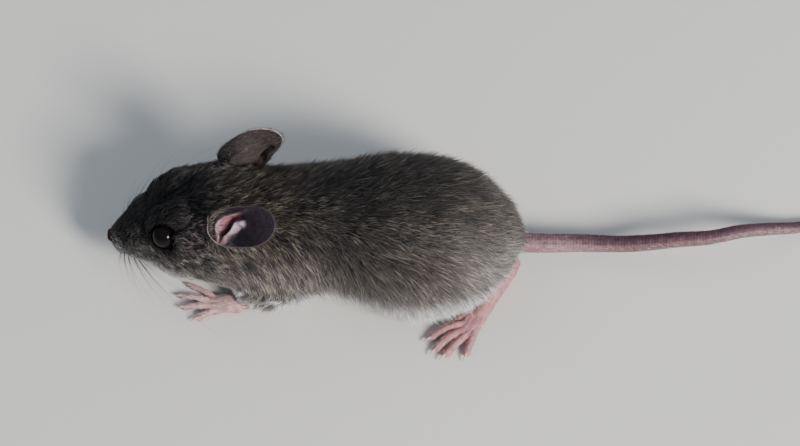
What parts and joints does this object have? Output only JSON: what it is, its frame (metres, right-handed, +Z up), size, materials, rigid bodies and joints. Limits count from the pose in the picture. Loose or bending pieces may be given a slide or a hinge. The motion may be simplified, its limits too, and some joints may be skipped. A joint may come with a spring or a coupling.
{
  "type": "young deer mouse",
  "caption": "Life-size still museum-style model of a young deer mouse crouching, tail laid out behind, for display on a flat surface",
  "frame": {"origin": "on the floor under the middle of the whole animal's box", "axes": "+X from nose to tail, +Y to the animal's right, +Z up"},
  "size_m": [0.1352, 0.0378, 0.0248],
  "materials": {
    "coat": "grey-brown agouti fur over dark underfur",
    "pale_coat": "white underside fur",
    "pink_skin": "thin pink skin with fine short white hair",
    "ear_skin": "dusky thin ear skin with a pale rim",
    "eye": "glossy black eye",
    "claw": "pale translucent horn",
    "whisker": "fine tapered whisker hair"
  },
  "bodies": {
    "root": {"nose": "pink_skin", "lower_jaw": "pale_coat", "head": "coat", "eye_left": "eye", "eye_right": "eye", "ear_left": "ear_skin", "ear_right": "ear_skin", "neck": "coat", "chest": "coat", "belly": "coat", "rump": "coat", "claw_fore_left_1": "claw", "claw_fore_left_2": "claw", "claw_fore_left_3": "claw", "claw_fore_left_4": "claw", "claw_fore_right_1": "claw", "claw_fore_right_2": "claw", "claw_fore_right_3": "claw", "claw_fore_right_4": "claw", "claw_hind_left_1": "claw", "claw_hind_left_2": "claw", "claw_hind_left_3": "claw", "claw_hind_left_4": "claw", "claw_hind_left_5": "claw", "claw_hind_right_1": "claw", "claw_hind_right_2": "claw", "claw_hind_right_3": "claw", "claw_hind_right_4": "claw", "claw_hind_right_5": "claw", "forearm_left": "pale_coat", "forearm_right": "pale_coat", "forefoot_left": "pink_skin", "forefoot_right": "pink_skin", "hind_foot_left": "pink_skin", "hind_foot_right": "pink_skin", "shank_left": "pale_coat", "shank_right": "pale_coat", "tail_1": "pink_skin", "tail_2": "pink_skin", "tail_3": "pink_skin", "tail_4": "pink_skin", "thigh_left": "coat", "thigh_right": "coat", "upper_arm_left": "coat", "upper_arm_right": "coat"}
  },
  "joints": []
}
